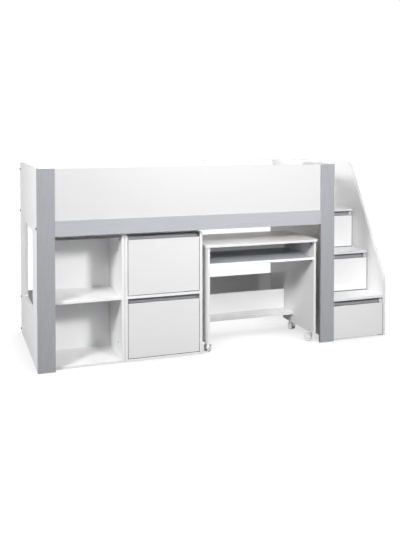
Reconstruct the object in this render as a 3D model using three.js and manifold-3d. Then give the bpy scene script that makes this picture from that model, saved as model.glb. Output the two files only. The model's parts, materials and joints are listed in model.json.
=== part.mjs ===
// Loft bed for a 190 x 90 cm mattress, with a bookcase, a two-drawer cabinet and a roll-out desk
// underneath, and a flight of three drawer steps at the right end. Millimetres, +Z up.
// The pieces are laid out from the left front bottom corner of the bed: X runs along the bed,
// Y runs towards the wall. The whole model is then centred on its own footprint.

import * as THREE from 'three';
import { mergeVertices } from 'three/addons/utils/BufferGeometryUtils.js';
import Module from 'manifold-3d';

// ---- Driving dimensions ------------------------------------------------------------------------

const GAP = 0.3;                  // between boards that touch
const BOARD = 18;                 // structural boards
const THIN_BOARD = 16;            // desk boards and stair treads
const FACE_BOARD = 22;            // grey posts and rail

const BED_LENGTH = 1950;          // over the two end panels
const BED_DEPTH = 955;
const BED_HEIGHT = 1190;
const POST_WIDTH = 102;
const RAIL_BOTTOM = 793;
const RAIL_TOP = 885;
const BACK_GUARD_BOTTOM = 817;
const BACK_TOP_DROP = 3;          // boards at the wall end this far below the end panels
const BACK_BOARD_TOP = 290;
const PLATFORM_TOP = 860;         // underside of the mattress
const SLAT_THICKNESS = 20;
const SLAT_WIDTH = 75;
const SLAT_COUNT = 13;
const BEARER = { width: 32, height: 40 };

const WINDOW = { y: [237, 668], z: [310, 805], radius: 12 };
const ENTRY = { y: [440, 880], sill: 885, topRadius: 45, rearRadius: 22, sillRadius: 12 };

const BOLT = { head: 7, proud: 5, shank: 3, hole: 3.5, shoulder: 2.5, dome: 5.2, domeRise: 4.2, crown: 2.5 };
const BACK_BOLT_HEIGHTS = [1147, 857, 250, 24];
const MODELLED_BOLTS = 3;

const UNIT_WIDTH = 501;           // bookcase and cabinet are the same carcass
const UNIT_HEIGHT = 774;
const UNIT_FRONT = 41;
const UNIT_DEPTH = 350;
const UNIT_BASE = 15;
const UNIT_BACK = 8;
const UNIT_TOP_SETBACK = 55;
const UNIT_SHELF_BOTTOM = 385;
const BOOKCASE_X = 24.5;
const CABINET_X = 526.5;

const FRONT_CLEARANCE = 2.5;      // around an inset drawer front
const PULL = { depth: 13, drop: 12, rise: 21, sheet: 3, side: 1, outerBend: 2, innerBend: 1 };
const TRAY = { wall: 12, floor: 6, side: 12.5, lift: 14 };
const CABINET_FRONTS = [
  { name: 'cabinet_drawer_upper', z: [406, 748] },
  { name: 'cabinet_drawer_lower', z: [18, 358] },
];
const CABINET_TRAY_DEPTH = 300;

const STAIR_WIDTH = 410;          // right end panel to the outside of the tall side panel
const RISER = 279;
const STAIR_FRONT = 12;
const GOING = 200.5;
const OVERLAY = 2.5;              // front to tall side panel
const PULL_SLOT = 31;             // tread to the drawer front below it
const STAIR_DRAWERS = [
  { name: 'stair_drawer_lower', bottom: 8, trayDepth: 600 },
  { name: 'stair_drawer_middle', bottom: 283, trayDepth: 600 },
  { name: 'stair_drawer_upper', bottom: 562, trayDepth: 480 },
];
const TALL_PANEL = { frontTop: 400, slopeEnd: 463, frontRadius: 70, topRadius: 110 };

const DESK = { x: [1043, 1838], y: [8, 475], top: 692, corner: 25 };
const DESK_SIDE = { x: [1054.5, 1823.5], front: 20, bottom: 58 };
const KEYBOARD_SHELF_TOP = 572;
const MODESTY = { bottom: 135, top: 271 };
const FOOT_SHELF = { top: 135, front: 318 };

// Twin-wheel castors: each swivels on a stem in the bottom edge of a desk side. The trail points to
// the front and is turned about the stem, as the castors stand when the desk has been pushed in.
const CASTOR = { radius: 22, trail: 20, axle: 3, bore: 3.3, stem: 4, stemBore: 4.3, stemTop: 86 };
const TYRE = { width: 11, hub: 7, rim: 17, recess: 1.5, slope: 1, shoulder: 2 };
const HOUSING = { width: 12, sideGap: 0.8, hoodGap: 1.5, hoodSheet: 2, boss: 6 };
const STEM_COLLAR = { neck: 6, radius: 8, height: 6 };
const HOOD_ARC = { from: 25, to: 155 };
const STEM_Y = { front: 66, back: 386 };
const CASTOR_TURNS = { front_left: 135, front_right: -135, back_left: 30, back_right: 17 };

const CURVE_STEPS = 10;           // per curved corner
const ROUND_STEPS = { bolt: 14, wheel: 28, collar: 20, stem: 16 };

// ---- Finishes ----------------------------------------------------------------------------------

const finish = (color, roughness, metalness = 0) =>
  new THREE.MeshStandardMaterial({ color, roughness, metalness });

const WHITE = finish(0xefefef, 0.45);
const GREY = finish(0xa9aaaf, 0.55);
const PULL_GREY = finish(0x9b9da3, 0.4, 0.3);
const TRAY_WHITE = finish(0xe4e3e0, 0.6);
const PINE = finish(0xd9bd8c, 0.65);
const DARK_STEEL = finish(0x2b2b2e, 0.35, 0.9);
const CASTOR_WHITE = finish(0xe9e9e9, 0.35);
const WHEEL_WHITE = finish(0xdedede, 0.5);

// ---- Scene helpers -----------------------------------------------------------------------------

const wasm = await Module();
wasm.setup();

const loftBed = new THREE.Group();
const boltedEnd = -BOLT.proud;
const overallLength = BED_LENGTH + STAIR_WIDTH;
loftBed.position.set(-(boltedEnd + overallLength) / 2, -BED_DEPTH / 2, 0);

function add(name, geometry, material) {
  const mesh = new THREE.Mesh(geometry, material);
  mesh.name = name;
  loftBed.add(mesh);
  return mesh;
}

// A plain board between two corners, given as [low, high] along each axis.
function board(name, material, x, y, z) {
  const mesh = add(name, new THREE.BoxGeometry(x[1] - x[0], y[1] - y[0], z[1] - z[0]), material);
  mesh.position.set((x[0] + x[1]) / 2, (y[0] + y[1]) / 2, (z[0] + z[1]) / 2);
  return mesh;
}

function extrude(outline, depth) {
  return new THREE.ExtrudeGeometry(outline, { depth, bevelEnabled: false, curveSegments: CURVE_STEPS });
}

// A plate whose outline is drawn in (Y, Z) and which is as thick as x is wide.
function crossPlate(name, material, outline, x) {
  const mesh = add(name, extrude(outline, x[1] - x[0]), material);
  mesh.rotation.set(Math.PI / 2, 0, Math.PI / 2, 'ZYX');
  mesh.position.x = x[0];
  return mesh;
}

// A plate whose outline is drawn in (X, Y) and which is as thick as z is high.
function flatPlate(name, material, outline, z) {
  const mesh = add(name, extrude(outline, z[1] - z[0]), material);
  mesh.position.z = z[0];
  return mesh;
}

// A closed outline through corners [a, b, radius], anticlockwise; a corner without a radius is sharp.
function roundedOutline(corners, Outline = THREE.Shape) {
  const outline = new Outline();
  corners.forEach(([a, b, radius = 0], index) => {
    const here = new THREE.Vector2(a, b);
    const before = new THREE.Vector2(...corners.at(index - 1));
    const after = new THREE.Vector2(...corners[(index + 1) % corners.length]);
    const back = before.sub(here).normalize();
    const ahead = after.sub(here).normalize();
    const half = Math.acos(THREE.MathUtils.clamp(back.dot(ahead), -1, 1)) / 2;
    const run = radius / Math.tan(half);
    const start = here.clone().addScaledVector(back, run);
    const end = here.clone().addScaledVector(ahead, run);
    const draw = index === 0 ? 'moveTo' : 'lineTo';
    outline[draw](start.x, start.y);
    if (radius > 0) {
      const centre = back.clone().add(ahead).normalize().multiplyScalar(radius / Math.sin(half)).add(here);
      const from = start.clone().sub(centre).angle();
      const to = end.clone().sub(centre).angle();
      const turnsRight = back.cross(ahead) > 0;
      outline.absarc(centre.x, centre.y, radius, from, to, turnsRight);
    }
  });
  outline.closePath();
  return outline;
}

function rectangle(a, b, radius, Outline) {
  return roundedOutline([[a[0], b[0], radius], [a[1], b[0], radius], [a[1], b[1], radius],
    [a[0], b[1], radius]], Outline);
}

function toSolid(geometry) {
  const bare = geometry.clone();
  bare.deleteAttribute('normal');
  bare.deleteAttribute('uv');
  const merged = mergeVertices(bare, 1e-4);
  const vertProperties = Float32Array.from(merged.attributes.position.array);
  const triVerts = Uint32Array.from(merged.index.array);
  return new wasm.Manifold(new wasm.Mesh({ numProp: 3, vertProperties, triVerts }));
}

function toGeometry(solid) {
  const { vertProperties, triVerts } = solid.getMesh();
  const geometry = new THREE.BufferGeometry();
  geometry.setAttribute('position', new THREE.BufferAttribute(vertProperties, 3));
  geometry.setIndex(new THREE.BufferAttribute(triVerts, 1));
  geometry.computeVertexNormals();
  return geometry;
}

function boxSolid(x, y, z) {
  const geometry = new THREE.BoxGeometry(x[1] - x[0], y[1] - y[0], z[1] - z[0]);
  geometry.translate((x[0] + x[1]) / 2, (y[0] + y[1]) / 2, (z[0] + z[1]) / 2);
  return toSolid(geometry);
}

function upright(radius, z, steps) {
  const cylinder = new THREE.CylinderGeometry(radius, radius, z[1] - z[0], steps);
  return cylinder.rotateX(Math.PI / 2).translate(0, 0, (z[0] + z[1]) / 2);
}

// ---- Bed frame ---------------------------------------------------------------------------------

const faceBack = FACE_BOARD + GAP;                    // front plane of what stands behind the posts
const backFront = BED_DEPTH - BOARD;                  // inner face of the boards at the wall
const boltY = BED_DEPTH - BOARD / 2;
const betweenEnds = [BOARD + GAP, BED_LENGTH - BOARD - GAP];
const betweenPosts = [POST_WIDTH + GAP, BED_LENGTH - POST_WIDTH - GAP];

function boltHole(y, z) {
  const hole = new THREE.Path();
  hole.absarc(y, z, BOLT.hole, 0, Math.PI * 2, true);
  return hole;
}

function endPanels() {
  const left = rectangle([faceBack, BED_DEPTH], [0, BED_HEIGHT], 0);
  left.holes.push(rectangle(WINDOW.y, WINDOW.z, WINDOW.radius, THREE.Path));
  for (const z of BACK_BOLT_HEIGHTS) {
    left.holes.push(boltHole(boltY, z));
  }
  left.holes.push(boltHole(faceBack + BEARER.width / 2, PLATFORM_TOP - BEARER.height / 2));
  crossPlate('left_end_panel', WHITE, left, [0, BOARD]);

  // The right end is cut down between its guard and its rear upright, where the stairs arrive.
  const right = roundedOutline([
    [faceBack, 0],
    [BED_DEPTH, 0],
    [BED_DEPTH, BED_HEIGHT],
    [ENTRY.y[1], BED_HEIGHT, ENTRY.rearRadius],
    [ENTRY.y[1], ENTRY.sill, ENTRY.sillRadius],
    [ENTRY.y[0], ENTRY.sill, ENTRY.sillRadius],
    [ENTRY.y[0], BED_HEIGHT, ENTRY.topRadius],
    [faceBack, BED_HEIGHT],
  ]);
  crossPlate('right_end_panel', WHITE, right, [BED_LENGTH - BOARD, BED_LENGTH]);
}

function greyFrame() {
  const y = [0, FACE_BOARD];
  board('left_front_post', GREY, [0, POST_WIDTH], y, [0, BED_HEIGHT]);
  board('right_front_post', GREY, [BED_LENGTH - POST_WIDTH, BED_LENGTH], y, [0, BED_HEIGHT]);
  board('front_rail', GREY, betweenPosts, y, [RAIL_BOTTOM, RAIL_TOP]);
}

// The front guard stands on the rail between the posts, flush with their backs.
function guardsAndBackBoard() {
  const infill = [FACE_BOARD - THIN_BOARD, FACE_BOARD];
  const atWall = [backFront, BED_DEPTH];
  board('front_guard', WHITE, betweenPosts, infill, [RAIL_TOP + GAP, BED_HEIGHT]);
  board('back_guard', WHITE, betweenEnds, atWall, [BACK_GUARD_BOTTOM, BED_HEIGHT - BACK_TOP_DROP]);
  board('lower_back_board', WHITE, betweenEnds, atWall, [0, BACK_BOARD_TOP]);
}

// A ladder frame: two long bearers with the slats let in flush with their tops.
function slatFrame() {
  const x = [betweenEnds[0] + GAP, betweenEnds[1] - GAP];
  const y = [faceBack, backFront - GAP];
  const bearerZ = [PLATFORM_TOP - BEARER.height, PLATFORM_TOP];
  const slatZ = [PLATFORM_TOP - SLAT_THICKNESS, PLATFORM_TOP];
  let frame = boxSolid(x, [y[0], y[0] + BEARER.width], bearerZ);
  frame = frame.add(boxSolid(x, [y[1] - BEARER.width, y[1]], bearerZ));
  const pitch = (x[1] - x[0] - SLAT_WIDTH) / (SLAT_COUNT - 1);
  for (let index = 0; index < SLAT_COUNT; index += 1) {
    const start = x[0] + index * pitch;
    frame = frame.add(boxSolid([start, start + SLAT_WIDTH], y, slatZ));
  }
  add('slat_frame', toGeometry(frame), PINE);
}

// A domed bolt head outside the left end panel, with its shank through the panel.
function endBolts() {
  const { head, proud, shank, shoulder, dome, domeRise, crown } = BOLT;
  const shankEnd = BOARD - GAP;
  const profile = [[0, -shankEnd], [shank, -shankEnd], [shank, GAP], [head, GAP], [head, shoulder],
    [dome, domeRise], [crown, proud], [0, proud]];
  const points = profile.map(([radius, height]) => new THREE.Vector2(radius, height));
  for (let index = 0; index < MODELLED_BOLTS; index += 1) {
    const bolt = add(`end_bolt_${index + 1}`, new THREE.LatheGeometry(points, ROUND_STEPS.bolt), DARK_STEEL);
    bolt.rotation.z = Math.PI / 2;
    bolt.position.set(0, boltY, BACK_BOLT_HEIGHTS[index]);
  }
}

// ---- Bookcase and cabinet ----------------------------------------------------------------------

function carcass(name, left) {
  const right = left + UNIT_WIDTH;
  const back = UNIT_FRONT + UNIT_DEPTH;
  const sideY = [UNIT_FRONT, back];
  const innerX = [left + BOARD + GAP, right - BOARD - GAP];
  const shelfY = [UNIT_FRONT, back - UNIT_BACK - GAP];
  const topY = [UNIT_FRONT + UNIT_TOP_SETBACK, shelfY[1]];
  board(`${name}_left_side`, WHITE, [left, left + BOARD], sideY, [0, UNIT_HEIGHT]);
  board(`${name}_right_side`, WHITE, [right - BOARD, right], sideY, [0, UNIT_HEIGHT]);
  board(`${name}_top`, WHITE, innerX, topY, [UNIT_HEIGHT - BOARD, UNIT_HEIGHT]);
  board(`${name}_bottom`, WHITE, innerX, shelfY, [0, UNIT_BASE]);
  board(`${name}_shelf`, WHITE, innerX, shelfY, [UNIT_SHELF_BOTTOM, UNIT_SHELF_BOTTOM + BOARD]);
  board(`${name}_back`, WHITE, innerX, [back - UNIT_BACK, back], [0, UNIT_HEIGHT]);
}

// ---- Drawers -----------------------------------------------------------------------------------

// A grey L-section behind the top edge of a drawer front: the trough takes the fingers.
function pullStrip(name, x, frontBack, frontTop) {
  const { depth, drop, rise, sheet, outerBend, innerBend } = PULL;
  const near = frontBack + GAP;
  const far = near + depth + sheet;
  const foot = frontTop - drop - sheet;
  const outline = roundedOutline([[near, foot], [far, foot, outerBend], [far, frontTop + rise],
    [far - sheet, frontTop + rise], [far - sheet, foot + sheet, innerBend], [near, foot + sheet]]);
  crossPlate(`${name}_pull`, PULL_GREY, outline, x);
}

// An open tray: outer block less the space inside it.
function tray(name, x, y, z) {
  const { wall, floor } = TRAY;
  const outside = boxSolid(x, y, z);
  const insideX = [x[0] + wall, x[1] - wall];
  const insideY = [y[0] + wall, y[1] - wall];
  const inside = boxSolid(insideX, insideY, [z[0] + floor, z[1] + wall]);
  add(`${name}_box`, toGeometry(outside.subtract(inside)), TRAY_WHITE);
}

// x and z are the drawer front's, from frontY back; bay is the clear width between the carcass sides.
function drawer(name, x, frontY, z, bay, trayDepth) {
  board(`${name}_front`, WHITE, x, [frontY, frontY + BOARD], z);
  const frontBack = frontY + BOARD;
  pullStrip(name, [bay[0] + PULL.side, bay[1] - PULL.side], frontBack, z[1]);
  const trayX = [bay[0] + TRAY.side, bay[1] - TRAY.side];
  const trayTop = z[1] - PULL.drop - PULL.sheet - GAP;
  tray(name, trayX, [frontBack + GAP, frontBack + GAP + trayDepth], [z[0] + TRAY.lift, trayTop]);
}

function cabinetDrawers() {
  const bay = [CABINET_X + BOARD, CABINET_X + UNIT_WIDTH - BOARD];
  const frontX = [bay[0] + FRONT_CLEARANCE, bay[1] - FRONT_CLEARANCE];
  for (const { name, z } of CABINET_FRONTS) {
    drawer(name, frontX, UNIT_FRONT, z, bay, CABINET_TRAY_DEPTH);
  }
}

// ---- Stairs ------------------------------------------------------------------------------------

const tallPanelX = [overallLength - BOARD, overallLength];
const stairSideX = [tallPanelX[0] - GAP - BOARD, tallPanelX[0] - GAP];
const treadX = [BED_LENGTH + GAP, tallPanelX[0] - GAP];
const stepFront = (step) => STAIR_FRONT + step * GOING;
const treadTop = (step) => (step + 1) * RISER;

// The carcass side is stepped: a tread rests on each level, and the fronts lie over its edges.
function stairSide() {
  const corners = [[BED_DEPTH - BOARD - GAP, 0]];
  const levels = [2, 1, 0];
  for (const step of levels) {
    const height = treadTop(step) - THIN_BOARD - GAP;
    corners.push([corners.at(-1)[0], height]);
    corners.push([stepFront(step) + BOARD + GAP, height]);
  }
  corners.push([stepFront(0) + BOARD + GAP, 0]);
  crossPlate('stair_side_panel', WHITE, roundedOutline(corners), stairSideX);
}

// A tread is a full-depth board. Behind the next riser it narrows to pass inside the stepped side.
function treads() {
  const back = BED_DEPTH - BOARD - GAP;
  for (let step = 0; step < STAIR_DRAWERS.length; step += 1) {
    const z = [treadTop(step) - THIN_BOARD, treadTop(step)];
    const front = stepFront(step);
    const isTop = step === STAIR_DRAWERS.length - 1;
    const notch = stepFront(step + 1) + BOARD;
    const narrow = stairSideX[0] - GAP;
    const tail = isTop ? [[treadX[1], back]] : [[treadX[1], notch], [narrow, notch], [narrow, back]];
    const outline = roundedOutline([[treadX[0], front], [treadX[1], front], ...tail, [treadX[0], back]]);
    flatPlate(`stair_tread_${step + 1}`, WHITE, outline, z);
  }
}

function stairPanels() {
  const { frontTop, slopeEnd, frontRadius, topRadius } = TALL_PANEL;
  const outline = roundedOutline([
    [STAIR_FRONT, 0],
    [BED_DEPTH, 0],
    [BED_DEPTH, BED_HEIGHT],
    [slopeEnd, BED_HEIGHT, topRadius],
    [STAIR_FRONT, frontTop, frontRadius],
  ]);
  crossPlate('stair_guard_panel', WHITE, outline, tallPanelX);
  board('stair_back_panel', WHITE, treadX, [backFront, BED_DEPTH], [0, BED_HEIGHT - BACK_TOP_DROP]);
}

function stairDrawers() {
  const bay = [BED_LENGTH, stairSideX[0]];
  const frontX = [BED_LENGTH + FRONT_CLEARANCE, tallPanelX[0] - OVERLAY];
  STAIR_DRAWERS.forEach(({ name, bottom, trayDepth }, step) => {
    const top = treadTop(step) - THIN_BOARD - PULL_SLOT;
    drawer(name, frontX, stepFront(step), [bottom, top], bay, trayDepth);
  });
}

// ---- Desk --------------------------------------------------------------------------------------

const deskInnerX = [DESK_SIDE.x[0] + THIN_BOARD + GAP, DESK_SIDE.x[1] - THIN_BOARD - GAP];

// A side board with a blind bore in its bottom edge for each castor stem.
function deskSide(name, x, y, z) {
  let solid = boxSolid(x, y, z);
  for (const stemY of Object.values(STEM_Y)) {
    const depth = CASTOR.stemTop + GAP - z[0];
    const bore = upright(CASTOR.stemBore, [z[0] - depth, z[0] + depth], ROUND_STEPS.stem);
    solid = solid.subtract(toSolid(bore.translate((x[0] + x[1]) / 2, stemY, 0)));
  }
  add(name, toGeometry(solid), WHITE);
}

function desk() {
  const [left, right] = DESK_SIDE.x;
  const underTop = DESK.top - THIN_BOARD - GAP;
  const sideY = [DESK_SIDE.front, DESK.y[1]];
  const sideZ = [DESK_SIDE.bottom, underTop];
  const backY = [DESK.y[1] - THIN_BOARD, DESK.y[1]];
  const aheadOfBack = backY[0] - GAP;
  const shelfZ = [KEYBOARD_SHELF_TOP - THIN_BOARD, KEYBOARD_SHELF_TOP];
  flatPlate('desktop', WHITE, rectangle(DESK.x, DESK.y, DESK.corner), [DESK.top - THIN_BOARD, DESK.top]);
  deskSide('desk_left_side', [left, left + THIN_BOARD], sideY, sideZ);
  deskSide('desk_right_side', [right - THIN_BOARD, right], sideY, sideZ);
  board('keyboard_shelf', GREY, deskInnerX, [DESK_SIDE.front + 1, aheadOfBack], shelfZ);
  board('desk_upper_back', WHITE, deskInnerX, backY, [shelfZ[0], underTop]);
  board('modesty_panel', WHITE, deskInnerX, backY, [MODESTY.bottom + GAP, MODESTY.top]);
  board('foot_shelf', WHITE, deskInnerX, [FOOT_SHELF.front, DESK.y[1]],
    [FOOT_SHELF.top - THIN_BOARD, FOOT_SHELF.top]);
}

// In the castor's own frame the stem stands on the origin and the axle lies at the trail in front of it.
const wheelInner = HOUSING.width / 2 + HOUSING.sideGap;
const wheelOuter = wheelInner + TYRE.width;
const hoodInner = CASTOR.radius + HOUSING.hoodGap;
const hoodOuter = hoodInner + HOUSING.hoodSheet;

// A plate drawn in (Y, Z) about the axle, centred on the middle of the castor.
function castorPlate(outline, width) {
  const standing = new THREE.Euler(Math.PI / 2, 0, Math.PI / 2, 'ZYX');
  const plate = extrude(outline, width).applyMatrix4(new THREE.Matrix4().makeRotationFromEuler(standing));
  return toSolid(plate.translate(-width / 2, -CASTOR.trail, CASTOR.radius));
}

// A centre plate between the wheels, a hood over both, and the neck, collar and stem above.
function castorHousing() {
  const { width, boss } = HOUSING;
  const { axle, bore, radius, trail, stem, stemTop } = CASTOR;
  const web = new THREE.Shape();
  web.absarc(0, 0, hoodOuter, 0, Math.PI, false);
  web.lineTo(-boss, -boss);
  web.lineTo(boss, -boss);
  web.closePath();
  web.holes.push(new THREE.Path().absarc(0, 0, bore, 0, Math.PI * 2, true));
  const [from, to] = [HOOD_ARC.from, HOOD_ARC.to].map(THREE.MathUtils.degToRad);
  const hood = new THREE.Shape();
  hood.absarc(0, 0, hoodOuter, from, to, false);
  hood.absarc(0, 0, hoodInner, to, from, true);
  hood.closePath();
  const underPanel = DESK_SIDE.bottom - GAP;
  const underCollar = underPanel - STEM_COLLAR.height;
  const neckZ = [radius + axle + trail / 2, underPanel];
  return castorPlate(web, width)
    .add(castorPlate(hood, 2 * wheelOuter))
    .add(toSolid(upright(STEM_COLLAR.neck, neckZ, ROUND_STEPS.collar)))
    .add(toSolid(upright(STEM_COLLAR.radius, [underCollar, underPanel], ROUND_STEPS.collar)))
    .add(toSolid(upright(stem, [underCollar, stemTop], ROUND_STEPS.stem)));
}

// Both wheels on their axle, turned as one spool about X.
function castorWheels() {
  const { radius, axle } = CASTOR;
  const { hub, rim, recess, slope, shoulder } = TYRE;
  const side = [[0, wheelOuter], [hub, wheelOuter], [hub + slope, wheelOuter - recess],
    [rim, wheelOuter - recess], [rim + slope, wheelOuter - GAP], [radius - shoulder, wheelOuter - GAP],
    [radius, wheelOuter - shoulder], [radius, wheelInner + shoulder], [radius - shoulder, wheelInner],
    [axle, wheelInner]];
  const mirrored = side.map(([r, along]) => [r, -along]).reverse();
  const points = [...side, ...mirrored].reverse().map(([r, along]) => new THREE.Vector2(r, along));
  return new THREE.LatheGeometry(points, ROUND_STEPS.wheel).rotateZ(Math.PI / 2);
}

function castors() {
  const sideX = { left: DESK_SIDE.x[0] + THIN_BOARD / 2, right: DESK_SIDE.x[1] - THIN_BOARD / 2 };
  const housing = toGeometry(castorHousing());
  const wheels = castorWheels().translate(0, -CASTOR.trail, CASTOR.radius);
  for (const [end, y] of Object.entries(STEM_Y)) {
    for (const [side, x] of Object.entries(sideX)) {
      const place = `${end}_${side}`;
      const turn = THREE.MathUtils.degToRad(CASTOR_TURNS[place]);
      const pieces = [
        add(`castor_housing_${place}`, housing, CASTOR_WHITE),
        add(`castor_wheels_${place}`, wheels, WHEEL_WHITE),
      ];
      for (const piece of pieces) {
        piece.position.set(x, y, 0);
        piece.rotation.z = turn;
      }
    }
  }
}

// ---- Assembly ----------------------------------------------------------------------------------

endPanels();
greyFrame();
guardsAndBackBoard();
slatFrame();
endBolts();
carcass('bookcase', BOOKCASE_X);
carcass('cabinet', CABINET_X);
cabinetDrawers();
stairSide();
treads();
stairPanels();
stairDrawers();
desk();
castors();

export default loftBed;
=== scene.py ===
import json
import math
from dataclasses import dataclass, replace

import bmesh
import bpy
from mathutils import Matrix, Vector

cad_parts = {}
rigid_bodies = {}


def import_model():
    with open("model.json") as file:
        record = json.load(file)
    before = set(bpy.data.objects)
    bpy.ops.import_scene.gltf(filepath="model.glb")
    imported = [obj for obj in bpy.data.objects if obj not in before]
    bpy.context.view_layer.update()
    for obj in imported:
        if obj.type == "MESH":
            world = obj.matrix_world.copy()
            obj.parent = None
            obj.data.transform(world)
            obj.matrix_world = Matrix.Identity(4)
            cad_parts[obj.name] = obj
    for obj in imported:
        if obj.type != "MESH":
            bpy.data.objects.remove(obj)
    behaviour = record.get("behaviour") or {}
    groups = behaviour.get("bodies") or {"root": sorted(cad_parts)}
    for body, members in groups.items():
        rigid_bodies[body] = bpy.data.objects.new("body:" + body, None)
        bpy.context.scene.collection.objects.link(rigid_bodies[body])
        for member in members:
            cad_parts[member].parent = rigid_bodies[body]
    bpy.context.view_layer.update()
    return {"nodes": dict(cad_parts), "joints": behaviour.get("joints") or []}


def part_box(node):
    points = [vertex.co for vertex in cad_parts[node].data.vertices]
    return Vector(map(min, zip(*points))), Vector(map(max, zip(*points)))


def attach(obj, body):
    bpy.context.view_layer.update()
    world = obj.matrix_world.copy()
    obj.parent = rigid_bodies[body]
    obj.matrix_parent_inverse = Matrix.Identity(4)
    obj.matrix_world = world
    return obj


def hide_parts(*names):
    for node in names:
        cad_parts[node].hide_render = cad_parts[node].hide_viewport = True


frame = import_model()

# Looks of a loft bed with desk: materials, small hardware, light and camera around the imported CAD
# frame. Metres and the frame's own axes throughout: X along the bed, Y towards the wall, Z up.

NODES = frame["nodes"]
JOINTS = {joint["name"]: joint for joint in frame["joints"]}
CARCASS_BODY = "bed_frame"
MM = 0.001
WELD = 0.01 * MM                      # points nearer than this are one
X, Y, Z = range(3)


def middle(low, high):
    return (low + high) / 2


# ---- Node helpers ------------------------------------------------------------------------------

def add_node(tree, kind, inputs=None, **settings):
    """A shader node; an input is a number, a colour or another node's output."""
    node = tree.nodes.new("ShaderNode" + kind)
    for name, value in settings.items():
        setattr(node, name, value)
    for key, value in (inputs or {}).items():
        if isinstance(value, bpy.types.NodeSocket):
            tree.links.new(value, node.inputs[key])
        else:
            node.inputs[key].default_value = value
    return node


def maths(tree, operation, *values):
    return add_node(tree, "Math", dict(enumerate(values)), operation=operation).outputs[0]


def vector_maths(tree, operation, *values):
    node = add_node(tree, "VectorMath", dict(enumerate(values)), operation=operation)
    return node.outputs[0]


def remap(tree, value, low, high, to_low=0.0, to_high=1.0):
    inputs = {"Value": value, "From Min": low, "From Max": high, "To Min": to_low, "To Max": to_high}
    return add_node(tree, "MapRange", inputs, interpolation_type="SMOOTHSTEP").outputs[0]


def mix_colours(tree, share, first, second):
    first_colour, second_colour, mixed_colour = 6, 7, 2      # sockets of the Mix node
    inputs = {0: share, first_colour: first, second_colour: second}
    return add_node(tree, "Mix", inputs, data_type="RGBA").outputs[mixed_colour]


def noise(tree, place, scale, detail=2.0, distortion=0.0):
    inputs = {"Vector": place, "Scale": scale, "Detail": detail, "Distortion": distortion}
    return add_node(tree, "TexNoise", inputs).outputs[0]


def stretched(tree, place, along, across_size, along_size, seed=0.0):
    """Coordinates counted in grain cells: long along one axis, narrow across it."""
    cells = [1 / across_size] * 3
    cells[along] = 1 / along_size
    moved = vector_maths(tree, "ADD", place, (seed, seed * 1.7, seed * 0.6))
    return vector_maths(tree, "MULTIPLY", moved, tuple(cells))


def rgba(colour):
    return (*colour, 1.0)


def new_material(name, roughness=0.5, metallic=0.0):
    material = bpy.data.materials.new(name)
    material.use_nodes = True
    shader = material.node_tree.nodes["Principled BSDF"]
    shader.inputs["Roughness"].default_value = roughness
    shader.inputs["Metallic"].default_value = metallic
    return material, material.node_tree, shader


def bump(tree, shader, height, strength, depth):
    inputs = {"Height": height, "Strength": strength, "Distance": depth}
    relief = add_node(tree, "Bump", inputs)
    tree.links.new(relief.outputs[0], shader.inputs["Normal"])


# ---- Board materials ---------------------------------------------------------------------------

@dataclass(frozen=True)
class BoardLook:
    """A laminated board: its foil, the grain printed in it, and its edge colour, which is banding on most
    boards and painted shade for the gaps on the fronts.
    """
    foil: tuple
    streak: tuple
    edge_band_and_shade: tuple
    worn: tuple
    grain: float              # share of the streak colour
    roughness: tuple
    relief: float
    coat: float = 0.0
    outline: float = 0.0      # width of the edge colour drawn on the broad faces: painted shade for the gap round a front


WHITE_LOOK = BoardLook(foil=(0.845, 0.845, 0.85), streak=(0.79, 0.79, 0.79), edge_band_and_shade=(0.72, 0.72, 0.725),
                       worn=(0.70, 0.70, 0.69), grain=0.35, roughness=(0.34, 0.46), relief=0.12,
                       coat=0.15)
POST_LOOK = BoardLook(foil=(0.395, 0.402, 0.43), streak=(0.27, 0.275, 0.295), edge_band_and_shade=(0.36, 0.366, 0.39),
                      worn=(0.50, 0.50, 0.52), grain=0.35, roughness=(0.46, 0.6), relief=0.2)
# The posts' grey board painted lighter on the rail: painted light, where more light falls on the rail.
RAIL_LIT_LOOK = BoardLook(foil=(0.50, 0.51, 0.54), streak=(0.37, 0.375, 0.40), edge_band_and_shade=(0.47, 0.48, 0.51),
                      worn=(0.60, 0.60, 0.62), grain=0.3, roughness=(0.46, 0.6), relief=0.2)
# The guard's white board painted darker than the other white boards: painted shade, as the lamps light the
# guard more.
GUARD_SHADED_LOOK = replace(WHITE_LOOK, foil=(0.76, 0.76, 0.765), streak=(0.71, 0.71, 0.71),
                     edge_band_and_shade=(0.74, 0.74, 0.745), worn=(0.66, 0.66, 0.65))
SHELF_LOOK = BoardLook(foil=(0.42, 0.427, 0.455), streak=(0.30, 0.305, 0.325), edge_band_and_shade=(0.80, 0.80, 0.80),
                       worn=(0.50, 0.50, 0.52), grain=0.35, roughness=(0.46, 0.6), relief=0.2)
# The fronts' near-black edges, and the thin outline of them on the faces, are painted shade for the gaps
# round the fronts.
FRONT_LOOK = replace(WHITE_LOOK, edge_band_and_shade=(0.10, 0.102, 0.11), outline=1.1 * MM)
BOX_LOOK = BoardLook(foil=(0.78, 0.775, 0.75), streak=(0.70, 0.69, 0.66), edge_band_and_shade=(0.74, 0.73, 0.70),
                     worn=(0.6, 0.58, 0.54), grain=0.8, roughness=(0.48, 0.62), relief=0.2)

# Sizes of a grain streak, across the board and along it.
BROAD_GRAIN = (7 * MM, 160 * MM)
FINE_GRAIN = (1.3 * MM, 26 * MM)
BROAD_FACE = (0.45, 0.8)              # how far a normal points through the board, from edge to face
ARRIS_WEAR = (0.4 * MM, 2.2 * MM)     # the rub fades out between these distances from an edge
SCUFF_HEIGHT = 0.12                   # shoes and mops reach about this far up
MOTTLE_SHARE = 0.10
WEAR_SHARE = 0.45
SCUFF_SHARE = 0.25
PEEL_SHARE = 0.35
WORN_ROUGHER = 0.15
GAP_SHADE_FADE = (0.7, 1.3)                # the inner edge of that painted shade is soft between these parts of its width
COAT_ROUGHNESS = 0.22


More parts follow.
